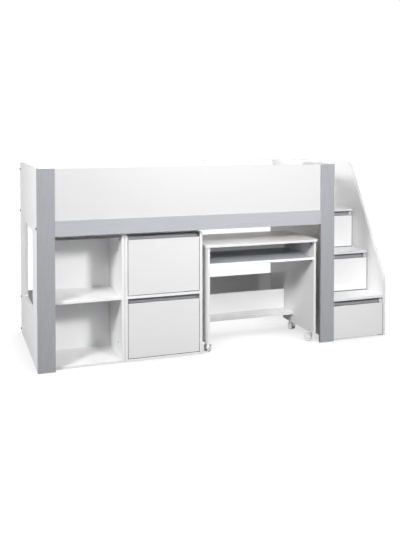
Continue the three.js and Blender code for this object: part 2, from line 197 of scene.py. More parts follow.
def grain_value(tree, place, along, seed):
    """Fine pores over broader streaks, both drawn out along the board."""
    broad = noise(tree, stretched(tree, place, along, *BROAD_GRAIN, seed), 1.0, detail=3.0, distortion=0.3)
    fine = noise(tree, stretched(tree, place, along, *FINE_GRAIN, seed), 1.0)
    mixed = maths(tree, "ADD", maths(tree, "MULTIPLY", broad, 0.5), maths(tree, "MULTIPLY", fine, 0.5))
    return remap(tree, mixed, 0.4, 0.66)


def edge_distance(tree, place, low, high):
    """Distance from the nearest long edge of the board's box: the middle one of three distances."""
    half = (high - low) / 2
    offset = vector_maths(tree, "SUBTRACT", place, tuple(middle(low, high)))
    inside = vector_maths(tree, "SUBTRACT", tuple(half), vector_maths(tree, "ABSOLUTE", offset))
    a, b, c = add_node(tree, "SeparateXYZ", {0: inside}).outputs
    nearer = maths(tree, "MINIMUM", a, b)
    farther = maths(tree, "MAXIMUM", a, b)
    return maths(tree, "MAXIMUM", nearer, maths(tree, "MINIMUM", farther, c))


def board_material(name, low, high, look, seed):
    """A laminate on the two broad faces of a board's box, and its edge colour on the edges: banding, and on
    the fronts painted shade for their gaps.
    """
    material, tree, shader = new_material(name)
    size = high - low
    thin = min(range(3), key=lambda axis: size[axis])
    along = max(range(3), key=lambda axis: size[axis])
    coordinates = add_node(tree, "TexCoord").outputs
    place = coordinates["Object"]

    facing = add_node(tree, "SeparateXYZ", {0: coordinates["Normal"]}).outputs[thin]
    broad_face = remap(tree, maths(tree, "ABSOLUTE", facing), *BROAD_FACE)
    grain = maths(tree, "MULTIPLY", grain_value(tree, place, along, seed), broad_face)
    mottle = noise(tree, place, 2.3, detail=3.0)
    smears = noise(tree, place, 11.0, detail=4.0, distortion=0.8)
    from_edge = edge_distance(tree, place, low, high)
    # Painted shade: on the fronts the edge colour runs a little way onto the broad faces.
    if look.outline:
        inside = remap(tree, from_edge, *(look.outline * part for part in GAP_SHADE_FADE))
        broad_face = maths(tree, "MULTIPLY", broad_face, inside)
    rubbed = remap(tree, from_edge, *ARRIS_WEAR, 1.0, 0.0)
    patchy = remap(tree, noise(tree, place, 42.0, detail=3.0), 0.42, 0.72)
    wear = maths(tree, "MULTIPLY", rubbed, patchy)
    height = add_node(tree, "SeparateXYZ", {0: place}).outputs[Z]
    near_floor = remap(tree, height, 0.0, SCUFF_HEIGHT, 1.0, 0.0)
    scuffs = maths(tree, "MULTIPLY", near_floor, remap(tree, smears, 0.5, 0.8))

    streaks = maths(tree, "MULTIPLY", grain, look.grain)
    foil = mix_colours(tree, streaks, rgba(look.foil), rgba(look.streak))
    toned = mix_colours(tree, remap(tree, mottle, 0.3, 0.75, 0.0, MOTTLE_SHARE), foil, rgba(look.streak))
    edge_banded_and_shaded = mix_colours(tree, broad_face, rgba(look.edge_band_and_shade), toned)
    worn = mix_colours(tree, maths(tree, "MULTIPLY", wear, WEAR_SHARE), edge_banded_and_shaded, rgba(look.worn))
    scuffed = mix_colours(tree, maths(tree, "MULTIPLY", scuffs, SCUFF_SHARE), worn, rgba(look.worn))
    tree.links.new(scuffed, shader.inputs["Base Color"])

    polish = remap(tree, smears, 0.3, 0.75, *look.roughness)
    roughness = maths(tree, "ADD", polish, maths(tree, "MULTIPLY", wear, WORN_ROUGHER))
    tree.links.new(roughness, shader.inputs["Roughness"])
    shader.inputs["Coat Weight"].default_value = look.coat
    shader.inputs["Coat Roughness"].default_value = COAT_ROUGHNESS

    peel = noise(tree, place, 260.0)
    texture = maths(tree, "ADD", grain, maths(tree, "MULTIPLY", peel, PEEL_SHARE))
    bump(tree, shader, texture, look.relief, depth=0.3 * MM)
    return material


# ---- Other materials ---------------------------------------------------------------------------

# Sizes of the softwood's features, across the board and along it, and its colours.
PINE_RINGS = (34 * MM, 900 * MM)
PINE_FIBRE = (0.7 * MM, 30 * MM)
PINE_KNOTS = (55 * MM, 260 * MM)
RING_LINES = 13.0
EARLY_WOOD, LATE_WOOD = (0.60, 0.55, 0.47), (0.50, 0.43, 0.34)
PALE_FIBRE, KNOT_BROWN = (0.66, 0.61, 0.54), (0.20, 0.09, 0.035)
STEEL_BLACK, STEEL_RUBBED = (0.035, 0.035, 0.04), (0.12, 0.12, 0.125)


def speckled_material(name, colour, shade, roughness, grain_size=0.6 * MM, relief=0.25):
    """Powder coat and moulded plastic: an even colour with a fine skin and a little handling wear."""
    material, tree, shader = new_material(name)
    place = add_node(tree, "TexCoord").outputs["Object"]
    skin = noise(tree, place, 1 / grain_size)
    smears = noise(tree, place, 18.0, detail=4.0, distortion=0.6)
    tone = maths(tree, "ADD", remap(tree, skin, 0.35, 0.7, 0.0, 0.35),
                 remap(tree, smears, 0.45, 0.8, 0.0, 0.4))
    tree.links.new(mix_colours(tree, tone, rgba(colour), rgba(shade)), shader.inputs["Base Color"])
    tree.links.new(remap(tree, smears, 0.3, 0.75, *roughness), shader.inputs["Roughness"])
    bump(tree, shader, skin, relief, depth=0.15 * MM)
    return material


def pine_material(name, along):
    """Planed softwood: growth lines along the board, with a few small knots."""
    material, tree, shader = new_material(name, 0.6)
    place = add_node(tree, "TexCoord").outputs["Object"]
    knot_cells = stretched(tree, place, along, *PINE_KNOTS, seed=0.31)
    knots = add_node(tree, "TexVoronoi", {"Vector": knot_cells, "Scale": 1.0}).outputs["Distance"]
    knot = remap(tree, knots, 0.03, 0.13, 1.0, 0.0)
    swirl = remap(tree, knots, 0.0, 0.4, 0.5, 0.0)
    rings = noise(tree, stretched(tree, place, along, *PINE_RINGS), 1.0, distortion=0.5)
    lines = maths(tree, "FRACT", maths(tree, "MULTIPLY", maths(tree, "ADD", rings, swirl), RING_LINES))
    late_wood = remap(tree, lines, 0.35, 0.95)
    fibre = noise(tree, stretched(tree, place, along, *PINE_FIBRE), 1.0)
    base = mix_colours(tree, maths(tree, "MULTIPLY", late_wood, 0.6), rgba(EARLY_WOOD), rgba(LATE_WOOD))
    fibrous = mix_colours(tree, maths(tree, "MULTIPLY", fibre, 0.25), base, rgba(PALE_FIBRE))
    knotted = mix_colours(tree, knot, fibrous, rgba(KNOT_BROWN))
    tree.links.new(knotted, shader.inputs["Base Color"])
    tree.links.new(remap(tree, fibre, 0.2, 0.8, 0.5, 0.72), shader.inputs["Roughness"])
    bump(tree, shader, maths(tree, "ADD", fibre, late_wood), strength=0.25, depth=0.25 * MM)
    return material


def steel_material(name):
    """Blackened steel with a brushed haze and bright rubbed spots."""
    material, tree, shader = new_material(name, metallic=0.9)
    place = add_node(tree, "TexCoord").outputs["Object"]
    haze = noise(tree, place, 700.0, detail=3.0)
    rub = remap(tree, noise(tree, place, 160.0, detail=3.0, distortion=0.4), 0.55, 0.8)
    tree.links.new(mix_colours(tree, rub, rgba(STEEL_BLACK), rgba(STEEL_RUBBED)),
                   shader.inputs["Base Color"])
    tree.links.new(remap(tree, haze, 0.3, 0.7, 0.28, 0.5), shader.inputs["Roughness"])
    bump(tree, shader, haze, strength=0.15, depth=0.1 * MM)
    return material


PULL_PAINT = speckled_material("pull_powder_coat", (0.37, 0.375, 0.395), (0.30, 0.305, 0.32),
                               (0.36, 0.52))
RUNNER_PAINT = speckled_material("runner_epoxy", (0.62, 0.62, 0.62), (0.5, 0.5, 0.5), (0.3, 0.45))
NYLON = speckled_material("castor_nylon", (0.76, 0.76, 0.76), (0.64, 0.64, 0.63), (0.3, 0.45))
TREAD = speckled_material("wheel_tread", (0.70, 0.70, 0.69), (0.5, 0.5, 0.49), (0.5, 0.7),
                          grain_size=1.4 * MM, relief=0.5)
# Near black: painted shade for the gaps round the fronts and at the joint of the units.
GAP_SHADE_SHEET = speckled_material("painted_gap_shade", (0.05, 0.05, 0.052), (0.03, 0.03, 0.032), (0.75, 0.95))
STEEL = steel_material("blackened_steel")
PINE_ALONG_X = pine_material("pine_bearer", X)
PINE_ALONG_Y = pine_material("pine_slat", Y)


# ---- Mesh helpers ------------------------------------------------------------------------------

HARD_EDGE = math.radians(32)          # an edge that bends more than this is rounded
ROUNDING_SEGMENTS = 2


def soften(piece, width):
    """Rounds every hard edge a little, as a real edge is, and shades the faces evenly."""
    weld = piece.modifiers.new("weld", "WELD")
    weld.merge_threshold = WELD
    rounding = piece.modifiers.new("rounding", "BEVEL")
    rounding.width = width
    rounding.segments = ROUNDING_SEGMENTS
    rounding.limit_method = "ANGLE"
    rounding.angle_limit = HARD_EDGE
    rounding.use_clamp_overlap = True
    shading = piece.modifiers.new("shading", "NODES")
    shading.node_group = SMOOTH_FACES
    even = piece.modifiers.new("even_normals", "WEIGHTED_NORMAL")
    even.keep_sharp = False


def smooth_faces_group():
    group = bpy.data.node_groups.new("smooth_faces", "GeometryNodeTree")
    group.interface.new_socket("Geometry", in_out="INPUT", socket_type="NodeSocketGeometry")
    group.interface.new_socket("Geometry", in_out="OUTPUT", socket_type="NodeSocketGeometry")
    start = group.nodes.new("NodeGroupInput")
    smooth = group.nodes.new("GeometryNodeSetShadeSmooth")
    end = group.nodes.new("NodeGroupOutput")
    group.links.new(start.outputs[0], smooth.inputs["Geometry"])
    group.links.new(smooth.outputs["Geometry"], end.inputs[0])
    return group


SMOOTH_FACES = smooth_faces_group()


def add_box(bm, low, high):
    low, high = Vector(low), Vector(high)
    place = Matrix.Translation(middle(low, high)) @ Matrix.Diagonal((*(high - low), 1.0))
    bmesh.ops.create_cube(bm, size=1.0, matrix=place)


def add_prism(bm, outline, axis, low, high):
    """A closed outline of 2-D points, given along the next two axes, drawn out along one axis."""
    first, second = (axis + 1) % 3, (axis + 2) % 3
    rings = []
    for level in (low, high):
        ring = []
        for a, b in outline:
            point = [0.0, 0.0, 0.0]
            point[axis], point[first], point[second] = level, a, b
            ring.append(bm.verts.new(point))
        rings.append(ring)
    bottom, top = rings
    bm.faces.new(bottom[::-1])
    bm.faces.new(top)
    for index in range(len(bottom)):
        after = (index + 1) % len(bottom)
        bm.faces.new((bottom[index], bottom[after], top[after], top[index]))


def ring_radius(radius, shape, angle):
    """Radius of a round, hexagonal or cross-shaped ring at an angle."""
    if shape == "hexagon":
        sector = math.pi / 3
        return radius * math.cos(sector / 2) / math.cos((angle % sector) - sector / 2)
    if shape == "cross":
        return radius * (0.32 + 0.68 * abs(math.cos(2 * angle)) ** 8)
    return radius


def add_lathe(bm, profile, centre, axis, direction=1, steps=36):
    """Turns a profile of (radius, height[, shape]) about an axis; heights run from the centre."""
    first, second = (axis + 1) % 3, (axis + 2) % 3
    rings = []
    for radius, height, *shape in profile:
        count = steps if radius > 0 else 1
        ring = []
        for index in range(count):
            angle = 2 * math.pi * index / count * direction
            reach = ring_radius(radius, shape[0] if shape else "round", angle)
            point = Vector(centre)
            point[axis] += height * direction
            point[first] += reach * math.cos(angle)
            point[second] += reach * math.sin(angle)
            ring.append(bm.verts.new(point))
        rings.append(ring)
    for lower, upper in zip(rings, rings[1:]):
        for index in range(steps):
            after = (index + 1) % steps
            corners = []
            corners += [lower[0]] if len(lower) == 1 else [lower[index], lower[after]]
            corners += [upper[0]] if len(upper) == 1 else [upper[after], upper[index]]
            if len(corners) > 2:
                bm.faces.new(corners)


def add_object(name, bm, material):
    mesh = bpy.data.meshes.new(name)
    bm.to_mesh(mesh)
    bm.free()
    mesh.materials.append(material)
    added = bpy.data.objects.new(name, mesh)
    bpy.context.scene.collection.objects.link(added)
    return added


def make_piece(name, bm, material, body, rounding=0.0):
    """A piece of the visual model that rides a body and keeps its own look."""
    bmesh.ops.recalc_face_normals(bm, faces=bm.faces)
    piece = add_object(name, bm, material)
    if rounding:
        soften(piece, rounding)
    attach(piece, body)
    return piece


# ---- CAD boards --------------------------------------------------------------------------------

GREY_BOARDS = {"left_front_post": POST_LOOK, "right_front_post": POST_LOOK, "front_rail": RAIL_LIT_LOOK,
               "keyboard_shelf": SHELF_LOOK}
WHITE_BOARDS = {"front_guard": GUARD_SHADED_LOOK}
SHAPED_AGAIN = ("slat_frame", "end_bolt_")      # and the drawer boxes: replaced by pieces made below
BOARD_ROUNDING = 0.8 * MM
SMALL_PARTS = {
    "_pull": (PULL_PAINT, "pull_grey", 0.6 * MM),
    "castor_housing_": (NYLON, "castor_white", 0.35 * MM),
    "castor_wheels_": (TREAD, "castor_wheel", 0.8 * MM),
}


def finish_cad_nodes():
    """Materials and rounded edges for the CAD nodes that stay visible."""
    for number, name in enumerate(sorted(NODES)):
        if name.startswith(SHAPED_AGAIN) or name.endswith("_box"):
            continue
        small = [finish for key, finish in SMALL_PARTS.items() if key in name]
        if small:
            material, slot, rounding = small[0]
        else:
            white = FRONT_LOOK if name.endswith("_front") else WHITE_LOOK
            look = GREY_BOARDS.get(name, WHITE_BOARDS.get(name, white))
            material = board_material(f"board_{name}", *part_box(name), look, number * 0.37)
            slot, rounding = "grey_board" if name in GREY_BOARDS else "white_board", BOARD_ROUNDING
        node = NODES[name]
        node.data.materials.clear()
        node.data.materials.append(material)
        soften(node, rounding)


# ---- Slats -------------------------------------------------------------------------------------

SLAT_COUNT = 13
SLAT_WIDTH = 75 * MM
SLAT_THICKNESS = 20 * MM
BEARER_WIDTH = 32 * MM
JOINT_PLAY = 0.3 * MM
SLAT_SUNK = 0.1 * MM                  # the slats' faces stay this far below the CAD box
SCREW_HEAD = 3.6 * MM


def add_screw_head(bm, centre, axis, direction, radius=SCREW_HEAD, proud=1.2 * MM):
    """A pan head with a cross recess, standing out along the axis from the surface at centre."""
    profile = [(0, 0), (radius, 0), (radius, proud * 0.45), (radius * 0.8, proud * 0.9),
               (radius * 0.55, proud), (radius * 0.5, proud, "cross"),
               (radius * 0.45, proud * 0.3, "cross"), (0, proud * 0.2)]
    add_lathe(bm, profile, centre, axis, direction, steps=32)


def drop_repeats(points, limit):
    """The outline without repeated points, and not past the end of the bearer."""
    kept = []
    for z, x in points:
        point = (z, min(x, limit))
        if not kept or (Vector(point) - Vector(kept[-1])).length > WELD:
            kept.append(point)
    return kept


def slats():
    """Two bearers with a notch for each slat, and the slats let into them."""
    low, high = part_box("slat_frame")
    pitch = (high.x - low.x - SLAT_WIDTH) / (SLAT_COUNT - 1)
    starts = [low.x + index * pitch for index in range(SLAT_COUNT)]
    seat = high.z - SLAT_THICKNESS
    for side, y in (("front", (low.y, low.y + BEARER_WIDTH)), ("back", (high.y - BEARER_WIDTH, high.y))):
        comb = [(low.z, high.x), (low.z, low.x)]
        for start in starts:
            notch, notch_end = seat - JOINT_PLAY, start + SLAT_WIDTH + JOINT_PLAY
            comb += [(notch, start), (notch, notch_end)]
            if start is not starts[-1]:
                next_notch = start + pitch - JOINT_PLAY
                comb += [(high.z, notch_end), (high.z, next_notch), (notch, next_notch)]
        bm = bmesh.new()
        add_prism(bm, drop_repeats(comb, high.x), Y, *y)
        bearer = make_piece(f"slat_bearer_{side}", bm, PINE_ALONG_X, CARCASS_BODY, rounding=1.0 * MM)
        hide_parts("slat_frame")
    for index, start in enumerate(starts):
        bm = bmesh.new()
        add_box(bm, (start, low.y, seat), (start + SLAT_WIDTH, high.y, high.z - SLAT_SUNK))
        slat = make_piece(f"slat_{index + 1:02d}", bm, PINE_ALONG_Y, CARCASS_BODY, rounding=2.5 * MM)
        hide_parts("slat_frame")


# ---- Drawer boxes and runners ------------------------------------------------------------------

DRAWERS = ("cabinet_drawer_upper", "cabinet_drawer_lower", "stair_drawer_lower", "stair_drawer_middle",
           "stair_drawer_upper")
TRAY_WALL = 12 * MM
TRAY_FLOOR = 6 * MM
BOTTOM_SHEET = 3 * MM
BACK_DROP = 14 * MM
INNER_FRONT_DROP = 2 * MM
RUNNER_SHEET = 1.2 * MM
RUNNER_REACH = 9.5 * MM
RUNNER_RISE = 20 * MM
RUNNER_BAY = 12.2 * MM                # drawer box to the carcass, less a little play
ANGLE_PLAY = 0.2 * MM                 # between the drawer box and the angle
ANGLE_FOOT = 1 * MM
ANGLE_SHORT = 2 * MM                  # from the box's ends to the angle's
CHANNEL_SHORT = 4 * MM                # and to the channel's
ROLLER_DROP = 5.6 * MM                # the roller's axis below the angle's flange
ROLLER_OUT = 2 * MM                   # from the angle's face
ROLLER_FROM_BACK = 14 * MM
CHANNEL_SCREWS = (30 * MM, 60 * MM)   # from the channel's front and back ends
CHANNEL_HEIGHT = 24 * MM
CHANNEL_ABOVE = 3 * MM                # the channel stands this far above the angle inside it
SURROUND = {                          # left, right and below each front
    "cabinet_drawer_upper": ("cabinet_left_side", "cabinet_right_side", "cabinet_shelf"),
    "cabinet_drawer_lower": ("cabinet_left_side", "cabinet_right_side", "cabinet_bottom"),
    "stair_drawer_lower": ("right_end_panel", "stair_guard_panel", None),
    "stair_drawer_middle": ("right_end_panel", "stair_guard_panel", "stair_tread_1"),
    "stair_drawer_upper": ("right_end_panel", "stair_guard_panel", "stair_tread_2"),
}
# Placing of the dark strips that are painted shade in the gaps round the fronts.
GAP_SHADE_CLEAR = 0.15 * MM
GAP_SHADE_PLAY = 0.7 * MM
GAP_SHADE_SET_BACK = 0.5 * MM
GAP_SHADE_DEPTH = 4.4 * MM
JOINT_HALF = 0.7 * MM                 # half the width of the painted shade strip between bookcase and cabinet
JOINT_SHORT = 1 * MM
ROLLER = [(0, 0), (5 * MM, 0), (5.5 * MM, 1 * MM), (5.5 * MM, 5 * MM), (4.5 * MM, 6 * MM),
          (1.8 * MM, 6 * MM), (1.6 * MM, 5.4 * MM), (0, 5.4 * MM)]


def drawer_box(name):
    """Two sides, a lower back, an inner front, and a thin bottom let in above the lower edges."""
    node = f"{name}_box"
    low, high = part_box(node)
    inner_low = low + Vector((TRAY_WALL, TRAY_WALL, 0))
    inner_high = high - Vector((TRAY_WALL, TRAY_WALL, 0))
    back_top = high.z - BACK_DROP
    bottom_z = (low.z + TRAY_FLOOR - BOTTOM_SHEET, low.z + TRAY_FLOOR)
    parts = {
        "left": ((low.x, low.y, low.z), (inner_low.x, high.y, high.z)),
        "right": ((inner_high.x, low.y, low.z), (high.x, high.y, high.z)),
        "inner_front": ((inner_low.x, low.y, low.z), (inner_high.x, inner_low.y, high.z - INNER_FRONT_DROP)),
        "back": ((inner_low.x, inner_high.y, low.z), (inner_high.x, high.y, back_top)),
        "bottom": ((inner_low.x, inner_low.y, bottom_z[0]), (inner_high.x, inner_high.y, bottom_z[1])),
    }
    for part, (start, end) in parts.items():
        bm = bmesh.new()
        add_box(bm, start, end)
        material = board_material(f"board_{name}_{part}", Vector(start), Vector(end), BOX_LOOK, start[X])
        piece = make_piece(f"{name}_box_{part}", bm, material, name, rounding=0.5 * MM)
        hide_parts(node)


def add_slab(bm, across, ends, heights):
    """A box whose two X values may come in either order."""
    add_box(bm, (min(across), ends[0], heights[0]), (max(across), ends[1], heights[1]))


def runner_angle(name, side, wall, outward):
    """The angle and its roller, screwed to the side of the drawer box."""
    low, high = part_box(f"{name}_box")
    face = wall + outward * ANGLE_PLAY
    top = low.z + RUNNER_RISE
    foot = low.z + ANGLE_FOOT
    web = face + outward * RUNNER_SHEET
    lip = face + outward * RUNNER_REACH
    flange = top - RUNNER_SHEET
    outline = [(foot, face), (top, face), (top, lip), (flange, lip), (flange, web), (foot, web)]
    bm = bmesh.new()
    add_prism(bm, outline, Y, low.y + ANGLE_SHORT, high.y - ANGLE_SHORT)
    make_piece(f"{name}_angle_{side}", bm, RUNNER_PAINT, name, rounding=0.3 * MM)
    bm = bmesh.new()
    roller = (face + outward * ROLLER_OUT, high.y - ROLLER_FROM_BACK, flange - ROLLER_DROP)
    add_lathe(bm, ROLLER, roller, X, outward)
    make_piece(f"{name}_roller_{side}", bm, NYLON, name)


def runner_channel(name, side, wall, outward):
    """The channel on the carcass that the drawer's angle runs in."""
    low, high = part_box(f"{name}_box")
    carcass = wall + outward * RUNNER_BAY
    web = carcass - outward * RUNNER_SHEET
    lip = carcass - outward * RUNNER_REACH
    top = low.z + RUNNER_RISE + CHANNEL_ABOVE
    foot = top - CHANNEL_HEIGHT
    ends = (low.y + CHANNEL_SHORT, high.y - CHANNEL_SHORT)
    upper, lower = top - RUNNER_SHEET, foot + RUNNER_SHEET
    outline = [(foot, carcass), (top, carcass), (top, lip), (upper, lip), (upper, web),
               (lower, web), (lower, lip), (foot, lip)]
    bm = bmesh.new()
    add_prism(bm, outline, Y, *ends)
    for y in (ends[0] + CHANNEL_SCREWS[0], ends[1] - CHANNEL_SCREWS[1]):
        add_screw_head(bm, (web, y, middle(foot, top)), X, -outward, radius=3 * MM, proud=0.9 * MM)
    make_piece(f"{name}_channel_{side}", bm, RUNNER_PAINT, CARCASS_BODY, rounding=0.25 * MM)


def gap_shade_strips(name):
    """Dark strips on the carcass in the gaps beside and below a front, up to its pull: painted shade in
    those gaps.
    """
    low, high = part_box(f"{name}_front")
    left, right, below = SURROUND[name]
    wall_left, wall_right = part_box(left)[1].x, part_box(right)[0].x
    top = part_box(f"{name}_pull")[0].z - GAP_SHADE_PLAY
    depth = (low.y + GAP_SHADE_SET_BACK, low.y + GAP_SHADE_SET_BACK + GAP_SHADE_DEPTH)
    bm = bmesh.new()
    add_slab(bm, (wall_left + GAP_SHADE_CLEAR, low.x - GAP_SHADE_PLAY), depth, (low.z, top))
    add_slab(bm, (wall_right - GAP_SHADE_CLEAR, high.x + GAP_SHADE_PLAY), depth, (low.z, top))
    if below:
        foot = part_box(below)[1].z + GAP_SHADE_CLEAR
        add_slab(bm, (low.x, high.x), depth, (foot, low.z - GAP_SHADE_PLAY))
    make_piece(f"{name}_gap_liner", bm, GAP_SHADE_SHEET, CARCASS_BODY)


def unit_joint():
    """A dark strip over the joint between the bookcase and the cabinet: painted shade for the gap between
    them.
    """
    joint_x = middle(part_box("bookcase_right_side")[1].x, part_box("cabinet_left_side")[0].x)
    low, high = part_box("cabinet_left_side")
    depth = (low.y - GAP_SHADE_CLEAR, low.y - GAP_SHADE_CLEAR / 3)
    heights = (low.z + JOINT_SHORT, high.z - JOINT_SHORT)
    bm = bmesh.new()
    add_slab(bm, (joint_x - JOINT_HALF, joint_x + JOINT_HALF), depth, heights)
    make_piece("unit_joint_painted_shade", bm, GAP_SHADE_SHEET, CARCASS_BODY)


def drawers():
    for name in DRAWERS:
        gap_shade_strips(name)
        drawer_box(name)
        low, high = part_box(f"{name}_box")
        for side, wall, outward in (("left", low.x, -1), ("right", high.x, 1)):
            runner_angle(name, side, wall, outward)
            runner_channel(name, side, wall, outward)


# ---- Fixed hardware ----------------------------------------------------------------------------

BOLT_HEAD = [(0, -17.5 * MM), (3 * MM, -17.5 * MM), (3 * MM, 0.3 * MM), (7 * MM, 0.3 * MM),
             (7.2 * MM, 0.9 * MM), (6.9 * MM, 2.2 * MM), (5.7 * MM, 3.7 * MM), (3.9 * MM, 4.7 * MM),
             (3.0 * MM, 4.8 * MM), (2.6 * MM, 4.8 * MM, "hexagon"), (2.5 * MM, 2.2 * MM, "hexagon"),
             (0, 1.8 * MM)]
LOW_BOLT_HEIGHT = 24 * MM
CONNECTING_SCREWS = (                 # behind the side's front edge, and above the floor
    (99 * MM, 673 * MM), (97 * MM, 101 * MM), (63 * MM, 742 * MM))
CAM = [(0, 0), (7.5 * MM, 0), (7.5 * MM, 0.5 * MM), (6.6 * MM, 0.8 * MM), (3.4 * MM, 0.8 * MM),
       (3.4 * MM, 0.8 * MM, "cross"), (3.2 * MM, 0.2 * MM, "cross"), (0, 0.1 * MM)]
CAM_INSETS = (38 * MM, 60 * MM)       # from the desk side's front and back edges
CAM_DROPS = {"desktop": 14 * MM, "keyboard_shelf": 12 * MM}    # below the board that it holds
CASTOR_SCREW = (14 * MM, 12 * MM)     # behind the stem, and above the side's bottom edge
SHELF_PIN = [(0, -0.1 * MM), (4.5 * MM, -0.1 * MM), (4.5 * MM, 1.2 * MM), (2.5 * MM, 1.6 * MM),
             (2.5 * MM, 9 * MM), (2 * MM, 9.6 * MM), (0, 9.6 * MM)]
SHELF_PIN_INSETS = (40 * MM, 50 * MM)     # from the shelf's front and back edges
SHELF_PIN_DROP = 4.8 * MM
SHELF_PIN_GAP = 0.2 * MM              # from the shelf's end to the unit's side
HUB_FACE = 16.35 * MM                 # from the middle of the pair of wheels to the cap's back


def bolts():
    """Domed bolts with a hex socket, through the left end into the boards behind it."""
    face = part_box("left_end_panel")[0].x
    wall_bolt_y = middle(*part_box("end_bolt_1")).y
    for node in ("end_bolt_1", "end_bolt_2", "end_bolt_3"):
        bm = bmesh.new()
        add_lathe(bm, BOLT_HEAD, (face, wall_bolt_y, middle(*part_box(node)).z), X, -1)
        bolt = make_piece(f"{node}_socket_head", bm, STEEL, CARCASS_BODY, rounding=0.15 * MM)
        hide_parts(node)
    frame_low, frame_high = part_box("slat_frame")
    bearer_y = frame_low.y + BEARER_WIDTH / 2
    bearer_z = middle(frame_low, frame_high).z
    for name, y, z in (("end_bolt_low", wall_bolt_y, LOW_BOLT_HEIGHT),
                       ("end_bolt_bearer", bearer_y, bearer_z)):
        bm = bmesh.new()
        add_lathe(bm, BOLT_HEAD, (face, y, z), X, -1)
        make_piece(name, bm, STEEL, CARCASS_BODY, rounding=0.15 * MM)


def connectors():
    """Heads of the connecting screws and the cam discs seen on the boards' inner faces."""
    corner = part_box("bookcase_right_side")[0]
    bm = bmesh.new()
    for depth, z in CONNECTING_SCREWS:
        add_screw_head(bm, (corner.x, corner.y + depth, z), X, -1, radius=4.6 * MM, proud=1.6 * MM)
    make_piece("bookcase_connecting_screws", bm, STEEL, CARCASS_BODY)
    for side, edge, outward in (("left", 1, 1), ("right", 0, -1)):
        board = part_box(f"desk_{side}_side")
        inner = board[edge].x
        bm = bmesh.new()
        for y in (board[0].y + CAM_INSETS[0], board[1].y - CAM_INSETS[1]):
            for held, drop in CAM_DROPS.items():
                add_lathe(bm, CAM, (inner, y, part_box(held)[0].z - drop), X, outward)
        make_piece(f"desk_cam_discs_{side}", bm, STEEL, "desk")
        bm = bmesh.new()
        for swivel in (f"castor_front_{side}_swivel", f"castor_back_{side}_swivel"):
            y = JOINTS[swivel]["pos_m"][Y] + CASTOR_SCREW[0]
            add_screw_head(bm, (inner, y, board[0].z + CASTOR_SCREW[1]), X, outward, radius=3.4 * MM)
        make_piece(f"desk_castor_screws_{side}", bm, STEEL, "desk")


def shelf_pins():
    """Turned pins that carry the two loose shelves."""
    for unit in ("bookcase", "cabinet"):
        low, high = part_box(f"{unit}_shelf")
        bm = bmesh.new()
        for x, inward in ((low.x - SHELF_PIN_GAP, 1), (high.x + SHELF_PIN_GAP, -1)):
            for y in (low.y + SHELF_PIN_INSETS[0], high.y - SHELF_PIN_INSETS[1]):
                add_lathe(bm, SHELF_PIN, (x, y, low.z - SHELF_PIN_DROP), X, inward)
        make_piece(f"{unit}_shelf_pins", bm, RUNNER_PAINT, CARCASS_BODY)


def hub_caps():
    """A ringed cap in the recess of each castor wheel's outer face."""
    back, groove = HUB_FACE, HUB_FACE + 0.6 * MM
    rim, proud = HUB_FACE + 0.7 * MM, HUB_FACE + 1.1 * MM
    cap = [(7.1 * MM, back), (16.6 * MM, back), (16.6 * MM, rim), (15.8 * MM, proud),
           (12.4 * MM, proud), (11.8 * MM, groove), (9.4 * MM, groove), (8.8 * MM, proud),
           (7.1 * MM, proud), (7.1 * MM, back)]
    for place in ("front_left", "front_right", "back_left", "back_right"):
        spin = JOINTS[f"wheel_{place}_spin"]
        turn = Vector(spin["axis"]).to_track_quat("X", "Z").to_matrix().to_4x4()
        bm = bmesh.new()
        for outward in (1, -1):
            add_lathe(bm, cap, (0, 0, 0), X, outward)
        bmesh.ops.remove_doubles(bm, verts=bm.verts, dist=WELD)
        bmesh.ops.transform(bm, matrix=Matrix.Translation(spin["pos_m"]) @ turn, verts=bm.verts)
        make_piece(f"castor_hub_caps_{place}", bm, NYLON, f"wheel_{place}")


# ---- Floor, light and camera -------------------------------------------------------------------

FLOOR_REACH = 60.0
FLOOR_DROP = 0.5 * MM                 # below the feet, so the two faces never share a plane
FLOOR_GLOW = 1.0
FLOOR_SHADE = 0.6                     # glow left where the floor is closed in: painted contact shadow
FLOOR_SHADE_REACH = 0.35
SCREEN_RADIUS = 40.0
SCREEN_FOOT = -1.0
SCREEN_GLOW = (1.0, 1.01)
CLIP_END = 200.0

# Softboxes: place, diameter, strength.
LIT_POINT = Vector((0.0, 0.0, 0.6))
KEY_SPOT = ((0.53, -3.5, 2.175), 0.56, 0.67)
SIDE_SPOT = ((-3.38, -2.42, 2.44), 0.9, 0.2)
INSIDE_SPOT = (*SIDE_SPOT[:2], 0.44)  # more of the side light, kept off the fronts and OUTER_FACES
OUTER_FACES = ("front_guard", "left_front_post", "right_front_post", "front_rail")
RECESS_SPOT = ((0.2, -4.2, 1.2), 0.8, 0.16)
RECESS = ("desk_upper_back", "keyboard_shelf")
BACK_SPOT = ((-1.5, 4.0, 2.6), 1.2, 0.5)
FAR_SPOT = ((3.6, 2.4, 2.4), 1.2, 0.5)
HIDDEN_FACES = ("back_guard", "lower_back_board", "bookcase_back", "cabinet_back", "stair_back_panel",
                "stair_guard_panel")

# Sky: brightness, and edges of its zones as parts of a unit direction.
FRONT_SKY = 1.3
OPEN_SKY = 0.3
BACKDROP_TOP = (0.31, 0.36)
BACKDROP_FOOT = (-0.06, -0.03)
BACKDROP_SIDES = (0.6, 0.7)

EYE = (-1.6687, -4.6433, 1.3941)
EYE_YAW, EYE_PITCH = 0.343, 0.031     # radians, right of +Y and down
LENS_MM, SENSOR_MM = 48.13, 36.0
FRAME_SHIFT = -0.208                  # takes in more of the floor without tilting the uprights


def glowing_material(name, roughness):
    """A matt surface that gives white light; its strength is linked by the caller."""
    material, tree, shader = new_material(name, roughness)
    shader.inputs["Specular IOR Level"].default_value = 0.0
    shader.inputs["Emission Color"].default_value = rgba((1.0, 1.0, 1.0))
    return material, tree, shader


